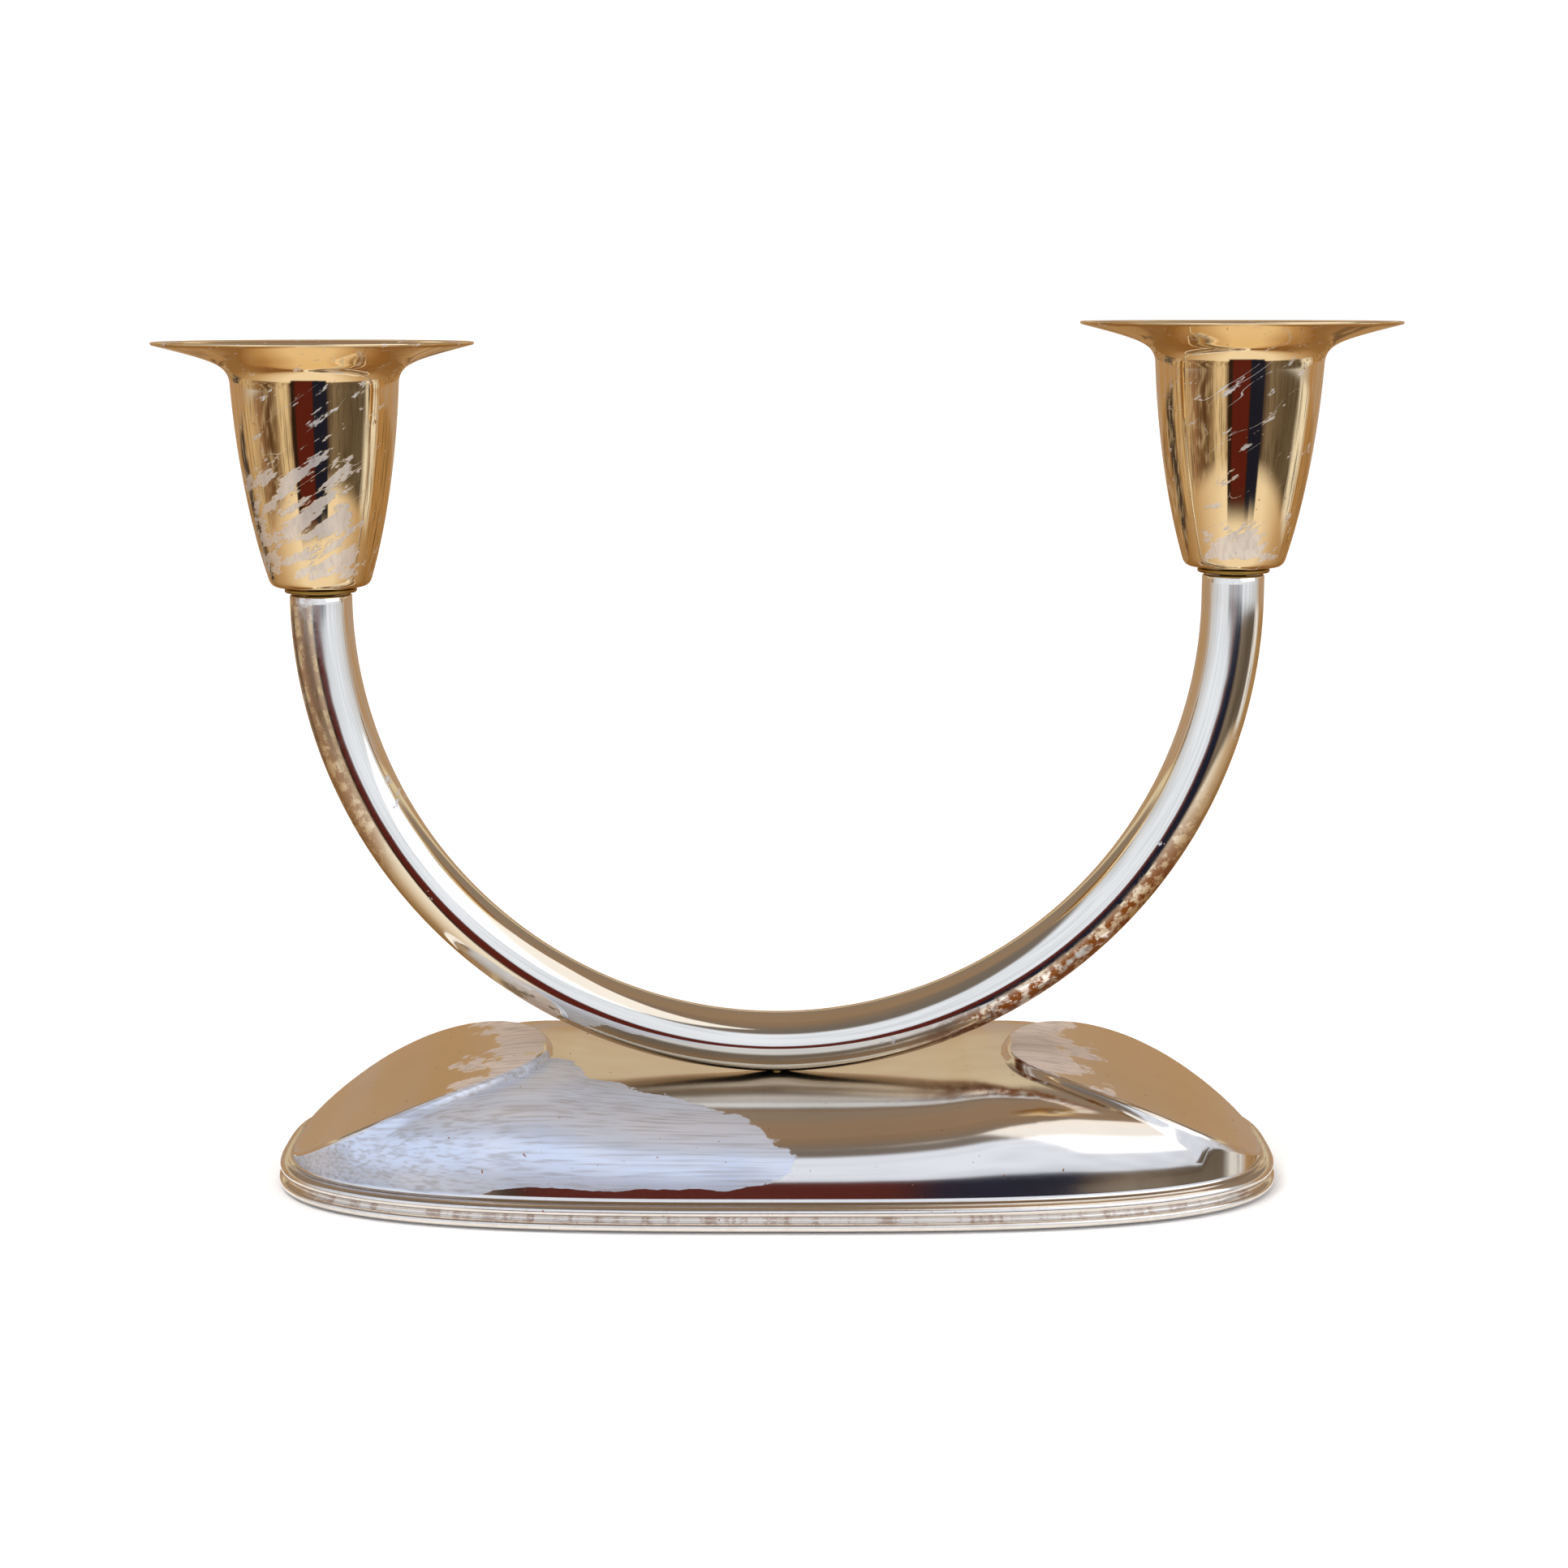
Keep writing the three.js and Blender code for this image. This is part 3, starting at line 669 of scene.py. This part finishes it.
def arm_tube():
    """A hollow tube: the outside from one end to the other, then the bore back again."""
    total = LEG["left"] + math.pi * ARC_RADIUS + LEG["right"]
    soft, end_radius = TUBE_END_ROUNDING, TUBE_RADIUS - TUBE_END_ROUNDING
    stations = [(0, end_radius), (soft, TUBE_RADIUS)]
    stations += [(total * i / TUBE_STEPS, TUBE_RADIUS) for i in range(1, TUBE_STEPS)]
    stations += [(total - soft, TUBE_RADIUS), (total, end_radius)]
    stations += [(total * (1 - i / BORE_STEPS), TUBE_BORE_RADIUS) for i in range(BORE_STEPS + 1)]
    rings = [tube_ring(along, radius) for along, radius in stations]
    piece = add_piece("bent_tube_arm", *skin(rings, closed_along=True), drawn_silver_tube())
    weld(piece)
    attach(piece, "stand")
    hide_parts("arm_tube")


def arm_stud(material):
    """The stud that holds the arm: threaded below, and necked where the tube sits on the base."""
    bore_axis = SEAT_TOP + GAP + TUBE_RADIUS
    head_bottom = bore_axis - math.sqrt(TUBE_BORE_RADIUS**2 - ARM_STUD_HEAD_RADIUS**2) + GAP
    bottom, shoulder = SEAT_TOP - ARM_STUD_DEPTH, SEAT_TOP - SHELL_THICKNESS
    neck, head, chamfer = ARM_STUD_NECK_RADIUS, ARM_STUD_HEAD_RADIUS, ARM_STUD_CHAMFER
    profile = [(AXIS_RADIUS, bottom), (STUD_RADIUS - chamfer, bottom), (STUD_RADIUS, bottom + chamfer),
               (STUD_RADIUS, shoulder), (neck, shoulder + chamfer), (neck, head_bottom), (head, head_bottom),
               (head, bore_axis - chamfer), (head - chamfer, bore_axis), (AXIS_RADIUS, bore_axis)]
    piece = add_piece("necked_arm_stud", *turn(profile, 48), material)
    weld(piece)
    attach(piece, "stand")
    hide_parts("arm_stud")


# ---------------------------------------------------------------- the cups

CUP_HEIGHT = 37.4
CUP_FOOT_RADIUS = 7.85
CUP_FOOT_HEIGHT = 1.2
CUP_WAIST_RADIUS = 12.7
PAN_RADIUS = 24.2
PAN_DEPTH = 6.4
PAN_EDGE_SHEET = 0.5  # the pan thins out from the sheet's thickness at the waist to this at its edge
SHEET = 1.0
CUP_FLOOR = 1.4
CUP_FLOOR_CORNER = 0.4
RING_RADIUS = 5.5
RING_HEIGHT = 0.6
STUD_HEAD_RADIUS = 3.6
STUD_HEAD_HEIGHT = 1.6
STUD_HEAD_DOME = 0.7
STUD_CHAMFER = 0.4
STUD_DEPTH = 7.0
HOLE_RADIUS = STUD_RADIUS + GAP


def cup_profile():
    """Up the outside from the floor, over the pan's thin edge, and down the inside."""
    top = CUP_HEIGHT
    foot, waist = (CUP_FOOT_RADIUS, CUP_FOOT_HEIGHT), (CUP_WAIST_RADIUS, top - PAN_DEPTH)
    bottom = bezier([(6.4, 0), (7.1, 0), (7.6, 0.4), foot], 6)
    barrel = bezier([foot, (10.4, 9.6), (12.1, 20.0), waist], 36)
    flare = bezier([waist, (13.0, top - 3.6), (15.2, top - 3.1), (PAN_RADIUS - 0.2, top - 0.8)], 30)
    edge = [(PAN_RADIUS - 0.05, top - 0.68), (PAN_RADIUS, top - 0.52), (PAN_RADIUS - 0.05, top - 0.36)]
    inside = []
    for i, (radius, z) in enumerate(barrel + flare[1:]):
        share = max((i - len(barrel) + 1) / (len(flare) - 1), 0)
        inner_z = max(z, CUP_FLOOR + CUP_FLOOR_CORNER) + share * PAN_EDGE_SHEET
        inside.append((radius - SHEET + share * (SHEET - 0.2), inner_z))
    wall = [p for i, p in enumerate(inside) if i == 0 or p[1] > CUP_FLOOR + CUP_FLOOR_CORNER]
    floor = [(5.8, CUP_FLOOR), (HOLE_RADIUS, CUP_FLOOR)]
    return [(HOLE_RADIUS, 0)] + bottom + barrel[1:] + flare[1:] + edge + wall[::-1] + floor


def stud_profile(floor_top):
    """The cup's stud: a shank below and a domed head inside the cup."""
    head = floor_top + STUD_HEAD_HEIGHT
    quarter = [math.pi / 2 * i / 8 for i in range(8)]
    dome = [(STUD_HEAD_RADIUS * math.cos(a), head + STUD_HEAD_DOME * (math.sin(a) - 1)) for a in quarter]
    shank = [(AXIS_RADIUS, -STUD_DEPTH), (STUD_RADIUS - STUD_CHAMFER, -STUD_DEPTH),
             (STUD_RADIUS, -STUD_DEPTH + STUD_CHAMFER), (STUD_RADIUS, floor_top),
             (STUD_HEAD_RADIUS, floor_top)]
    return shank + dome + [(AXIS_RADIUS, head)]


def light(side, sign, cup_material):
    """One cup with its pan, the collar under it and the stud that holds it."""
    tube_end = ARC_CENTRE_Z + LEG[side]
    end = (sign * ARC_RADIUS, 0, tube_end)
    cup_bottom = GAP + RING_HEIGHT + GAP
    seat = (sign * ARC_RADIUS, 0, tube_end + cup_bottom)
    cup = add_piece(f"{side}_spun_cup", *turn(cup_profile(), 128), cup_material, seat)
    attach(cup, f"{side}_cup")
    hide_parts(f"{side}_candle_cup")
    low, high, soft = GAP, GAP + RING_HEIGHT, 0.15
    section = [(HOLE_RADIUS, low), (RING_RADIUS - soft, low), (RING_RADIUS, low + soft),
               (RING_RADIUS, high - soft), (RING_RADIUS - soft, high), (HOLE_RADIUS, high)]
    brass = bpy.data.materials.get("turned_brass")
    collar = add_piece(f"{side}_turned_collar", *turn(section, 72), brass, end)
    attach(collar, f"{side}_collar")
    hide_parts(f"{side}_collar_ring")
    under_head = cup_bottom + CUP_FLOOR + GAP
    stud = add_piece(f"{side}_threaded_stud", *turn(stud_profile(under_head), 48), brass, end)
    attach(stud, f"{side}_cup")
    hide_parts(f"{side}_cup_stud")
    for piece in (cup, collar, stud):
        weld(piece)


# ---------------------------------------------------------------- the hidden pieces


def finish_hidden_pieces():
    steel = plain_metal("rolled_steel_sheet", "#9a9da1", 0.4, 1.5)
    brass = plain_metal("turned_brass", "#b5954f", 0.35, 0.5)
    materials = {
        "ballast_block": cast_iron(),
        "bottom_plate": steel,
        "felt_pad": wool_felt(),
        "arm_washer": steel,
        "arm_nut": brass,
        "left_end_plug": brass,
        "right_end_plug": brass,
    }
    for node, material in materials.items():
        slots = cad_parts[node].data.materials
        slots.clear()
        slots.append(material)
    arm_stud(brass)


# ---------------------------------------------------------------- the floor

FLOOR_MIRRORED = 7.0  # how far round the base the rim mirrors the floor
FLOOR_HALF_WIDTH, FLOOR_FRONT, FLOOR_BACK = 4.0, -2.5, 0.9  # metres
BACKDROP_HEIGHT, BACKDROP_BEND = 2.2, 0.6  # metres


def add_floor():
    """A pale floor that curves up behind. The metal mirrors the room instead of it, apart from a strip of the
    floor close round the base, which the rolled rim mirrors."""
    bend = BACKDROP_BEND
    angles = [math.pi / 2 * i / 24 for i in range(1, 25)]
    curve = [(FLOOR_FRONT, 0.0), (FLOOR_BACK, 0.0)]
    curve += [(FLOOR_BACK + bend * math.sin(a), bend - bend * math.cos(a)) for a in angles]
    curve += [(FLOOR_BACK + bend, BACKDROP_HEIGHT)]
    points = [(side * FLOOR_HALF_WIDTH / MM, y / MM, z / MM) for y, z in curve for side in (-1, 1)]
    faces = [(2 * i, 2 * i + 1, 2 * i + 3, 2 * i + 2) for i in range(len(curve) - 1)]
    material, tree, shader, place = new_material("matt_studio_paper")
    fibre = noise(tree, place, 3.0, detail=3)
    tone = blend(tree, fibre, linear("#f3f2f0"), linear("#f6f5f4"))
    tree.links.new(tone, shader.inputs["Base Color"])
    shader.inputs["Roughness"].default_value = 0.9
    shader.inputs["Specular IOR Level"].default_value = 0.1
    floor = add_piece("studio_floor", points, faces, material)
    floor.visible_glossy = False
    angles = [2 * math.pi * i / 120 for i in range(120)]
    above_floor = 0.02
    outer, inner = [[(*outline_point(a, inset), above_floor) for a in angles]
                    for inset in (-FLOOR_MIRRORED, RIM_WALL)]
    strip = add_piece("floor_by_the_rim", *skin([outer, inner]), material)
    strip.visible_camera = strip.visible_diffuse = strip.visible_shadow = False


# ---------------------------------------------------------------- the room that the metal mirrors

# Headings are in degrees round the room: 0 is in front, 90 to the right. Heights are in degrees above the
# level. Colours are linear.

# Dark uprights before the window: headings from and to, heights from and to, colour.
UPRIGHTS = (
    (-24, 15, -29, -6, (0.03, 0.015, 0.01)),
    (-18, 6, -27, -6, (0.11, 0.018, 0.012)),
    (7, 26, -28, -6, (0.014, 0.016, 0.035)),
)
UPRIGHT_SOFTNESS = 0.8


def panorama(tree, heading, stops):
    """Colours round the room, from (heading, colour) stops."""
    position = ramp_between(tree, heading, -180.0, 180.0, smooth=False)
    node = add(tree, "ShaderNodeValToRGB", {0: position})
    elements = node.color_ramp.elements
    elements[0].position = (stops[0][0] + 180) / 360
    elements[0].color = (*stops[0][1], 1)
    elements[1].position = 1.0
    elements[1].color = (*stops[-1][1], 1)
    for degrees, colour in stops[1:-1]:
        elements.new((degrees + 180) / 360).color = (*colour, 1)
    return node.outputs[0]


def room_noise(tree, direction, scale, detail):
    """Noise over the directions of the room, with a scale for each axis."""
    moved = add(tree, "ShaderNodeMapping", {"Vector": direction, "Scale": scale}).outputs[0]
    return add(tree, "ShaderNodeTexNoise", {"Vector": moved, "Scale": 1.0, "Detail": detail}).outputs["Fac"]


def table_top(tree, heading, height, mottle, behind):
    """Cream in front and brown behind, where it is mottled close by."""
    far, tan, sand, cream = (0.27, 0.135, 0.045), (0.34, 0.19, 0.075), (0.62, 0.45, 0.28), (1.0, 0.90, 0.76)
    table = panorama(tree, heading, [
        (-180, far), (-130, tan), (-80, sand), (-30, cream), (40, cream), (80, sand), (130, tan), (180, far)])
    brown = blend(tree, mottle, (0.19, 0.085, 0.026, 1), (0.34, 0.175, 0.07, 1))
    return blend(tree, product(tree, ramp_between(tree, height, -38.0, -62.0), behind), table, brown)


def furniture(tree, direction, heading):
    """The band from the table up to the window: dark pieces with gaps between, lit shelves and dark posts."""
    wall, black, cream, white = (0.42, 0.24, 0.10), (0.06, 0.045, 0.04), (0.80, 0.66, 0.47), (1.0, 0.98, 0.95)
    band = panorama(tree, heading, [
        (-180, wall), (-136, wall), (-132, black), (-118, black), (-112, (0.52, 0.33, 0.16)),
        (-92, (0.72, 0.56, 0.36)), (-78, (0.34, 0.20, 0.12)), (-58, (0.10, 0.05, 0.02)),
        (-48, (0.30, 0.20, 0.12)), (-40, cream), (-29, cream), (-25, (0.20, 0.12, 0.08)),
        (28, (0.10, 0.07, 0.06)), (34, (0.24, 0.19, 0.14)), (60, (0.13, 0.10, 0.07)),
        (80, (0.16, 0.13, 0.10)), (88, white), (102, white), (110, (0.50, 0.30, 0.13)), (180, wall)])
    shelves = room_noise(tree, direction, (9, 9, 42), 3.0)
    posts = room_noise(tree, direction, (40, 40, 5), 2.0)
    lit = product(tree, ramp_between(tree, shelves, 0.5, 0.58), ramp_between(tree, heading, 10.0, -30.0), 0.6)
    band = blend(tree, lit, band, (0.66, 0.54, 0.40, 1))
    return blend(tree, product(tree, ramp_between(tree, posts, 0.54, 0.6), 0.7), band, (0.06, 0.035, 0.02, 1))


def window_and_wall(tree, heading, height, mottle, behind):
    """A wide cool window in front, unevenly bright, and a tan wall behind with a cream strip along it."""
    wall, jamb, sky = (0.50, 0.31, 0.15), (0.70, 0.72, 0.78), (0.95, 1.04, 1.22)
    window = panorama(tree, heading, [
        (-180, wall), (-105, wall), (-85, jamb), (-50, sky), (50, sky), (85, jamb), (105, wall), (180, wall)])
    dim = product(tree, ramp_between(tree, mottle, 0.42, 0.62), 0.3)
    window = blend(tree, dim, window, (0.45, 0.50, 0.60, 1))
    off_strip = maths(tree, "ABSOLUTE", maths(tree, "SUBTRACT", height, 19.0))
    strip = product(tree, ramp_between(tree, off_strip, 4.0, 1.5), behind)
    return blend(tree, strip, window, (0.80, 0.68, 0.46, 1))


def ceiling_over(tree, height, mottle, behind):
    """A brownish ceiling, warmer overhead, and paler behind."""
    front = blend(tree, ramp_between(tree, height, 50.0, 85.0), (0.185, 0.16, 0.14, 1), (0.33, 0.21, 0.12, 1))
    back = blend(tree, ramp_between(tree, height, 25.0, 60.0), (0.31, 0.235, 0.17, 1), (0.37, 0.24, 0.14, 1))
    return blend(tree, product(tree, mottle, 0.5), blend(tree, behind, front, back), (0.24, 0.20, 0.17, 1))


def before_the_window(tree, heading, height, colour):
    for left, right, foot, head, tint in UPRIGHTS:
        soft = UPRIGHT_SOFTNESS
        across = product(tree, ramp_between(tree, heading, left - soft, left + soft),
                         ramp_between(tree, heading, right + soft, right - soft))
        along = product(tree, ramp_between(tree, height, foot - 3, foot + 3),
                        ramp_between(tree, height, head + 1, head - 1))
        colour = blend(tree, product(tree, across, along), colour, (*tint, 1))
    return colour


def add_room():
    """The table, the furniture, the window and the ceiling, one above another. The camera sees pale grey."""
    world = bpy.data.worlds.new("room")
    bpy.context.scene.world = world
    world.use_nodes = True
    tree = world.node_tree
    direction = add(tree, "ShaderNodeTexCoord").outputs["Generated"]
    x, y, z = split(tree, direction)
    to_degrees = 180 / math.pi
    heading = product(tree, maths(tree, "ARCTAN2", x, product(tree, y, -1.0)), to_degrees)
    height = product(tree, maths(tree, "ARCSINE", z), to_degrees)
    cloudy = {"Vector": direction, "Scale": 9.0, "Detail": 5.0}
    mottle = add(tree, "ShaderNodeTexNoise", cloudy).outputs["Fac"]
    behind = ramp_between(tree, maths(tree, "ABSOLUTE", heading), 75.0, 105.0)

    window = window_and_wall(tree, heading, height, mottle, behind)
    ceiling = ceiling_over(tree, height, mottle, behind)
    above = maths(tree, "SUBTRACT", height, blend_values(tree, behind, 40.0, 22.0))
    colour = blend(tree, ramp_between(tree, above, -4.0, 4.0), window, ceiling)
    colour = blend(tree, ramp_between(tree, height, -6.0, -7.5), colour, furniture(tree, direction, heading))
    table = table_top(tree, heading, height, mottle, behind)
    colour = blend(tree, ramp_between(tree, height, -19.0, -23.0), colour, table)
    colour = before_the_window(tree, heading, height, colour)

    seen = add(tree, "ShaderNodeLightPath").outputs["Is Camera Ray"]
    colour = blend(tree, seen, colour, (0.95, 0.95, 0.95, 1))
    background = tree.nodes["Background"]
    tree.links.new(colour, background.inputs["Color"])
    background.inputs["Strength"].default_value = 1.0


# ---------------------------------------------------------------- the lamps


def add_light(name, place, aim, size, power, colour=(1, 1, 1), mirrored=True):
    """A square lamp pointed from place at aim, in metres and watts."""
    data = bpy.data.lights.new(name, "AREA")
    data.size = size
    data.energy = power
    data.color = colour
    lamp = bpy.data.objects.new(name, data)
    lamp.location = place
    lamp.rotation_euler = (Vector(aim) - Vector(place)).to_track_quat("-Z", "Y").to_euler()
    lamp.visible_camera = False
    lamp.visible_glossy = mirrored
    bpy.context.collection.objects.link(lamp)


add_room()
add_floor()
add_light("soft_key", (-0.55, -0.35, 1.15), (0, 0, 0.05), 0.7, 9.0, mirrored=False)
add_light("soft_fill", (0.8, -0.6, 0.9), (0, 0, 0.05), 1.3, 5.0)
add_light("backdrop_wash", (0, 0.3, 1.5), (0, 1.5, 0.5), 1.2, 14.0, (1.0, 0.97, 0.93), mirrored=False)
bpy.context.scene.view_settings.view_transform = "Standard"

finish_hidden_pieces()
base_shell()
arm_tube()
light("left", -1, spun_lacquered_cup("left_spun_lacquer", 1.0, -1.5, 9.0, 24.0, 0.105))
light("right", 1, spun_lacquered_cup("right_spun_lacquer", 6.0, -1.0, 4.8, 10.0, 0.24))
